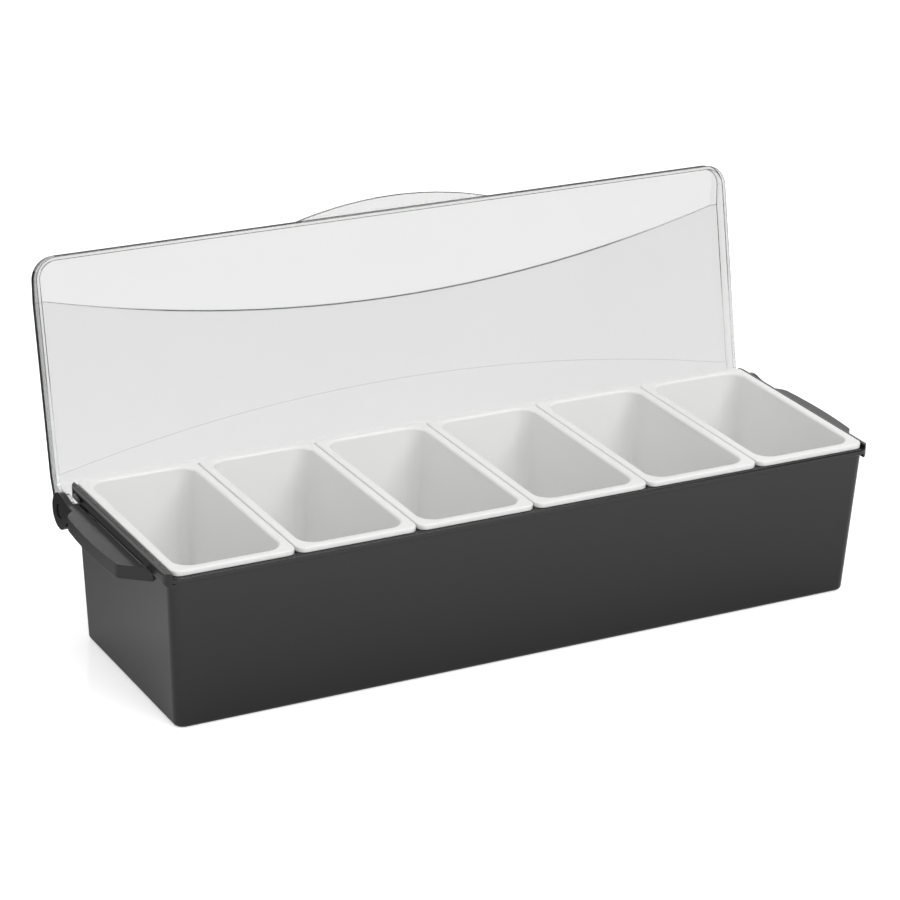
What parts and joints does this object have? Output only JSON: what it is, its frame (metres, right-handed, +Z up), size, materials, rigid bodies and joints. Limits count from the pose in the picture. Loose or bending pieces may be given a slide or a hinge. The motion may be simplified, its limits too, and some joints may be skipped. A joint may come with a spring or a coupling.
{
  "type": "bar garnish tray",
  "caption": "Countertop tray with lift-out cups hung in an ice tub under a clear hinged crowned lid, for holding cut fruit and bar garnishes.",
  "frame": {"origin": "middle of the tub's flat underside", "axes": "+Z up, +X along the tub to the right seen from the front, +Y to the hinge side at the back"},
  "size_m": [0.487, 0.1891, 0.2266],
  "materials": {
    "tub": "satin black moulded plastic",
    "pins": "satin black moulded plastic",
    "cups": "satin white moulded plastic",
    "lid": "clear moulded plastic, polished"
  },
  "bodies": {
    "base": {"base_tub": "tub", "hinge_pin_left": "pins", "hinge_pin_right": "pins"},
    "lid": {"lid": "lid"},
    "cup_1": {"cup_1": "cups"},
    "cup_2": {"cup_2": "cups"},
    "cup_3": {"cup_3": "cups"},
    "cup_4": {"cup_4": "cups"},
    "cup_5": {"cup_5": "cups"},
    "cup_6": {"cup_6": "cups"}
  },
  "joints": [
    {"name": "lid_hinge", "type": "hinge", "parent": "base", "child": "lid", "pos_m": [0, 0.0673, 0.0812], "axis": [-1, 0, 0], "range_deg": [-102.54, 0]},
    {"name": "cup_1_lift", "type": "slide", "parent": "base", "child": "cup_1", "axis": [0, 0, 1], "range_m": [0, 0.1]},
    {"name": "cup_2_lift", "type": "slide", "parent": "base", "child": "cup_2", "axis": [0, 0, 1], "range_m": [0, 0.1]},
    {"name": "cup_3_lift", "type": "slide", "parent": "base", "child": "cup_3", "axis": [0, 0, 1], "range_m": [0, 0.1]},
    {"name": "cup_4_lift", "type": "slide", "parent": "base", "child": "cup_4", "axis": [0, 0, 1], "range_m": [0, 0.1]},
    {"name": "cup_5_lift", "type": "slide", "parent": "base", "child": "cup_5", "axis": [0, 0, 1], "range_m": [0, 0.1]},
    {"name": "cup_6_lift", "type": "slide", "parent": "base", "child": "cup_6", "axis": [0, 0, 1], "range_m": [0, 0.1]}
  ]
}
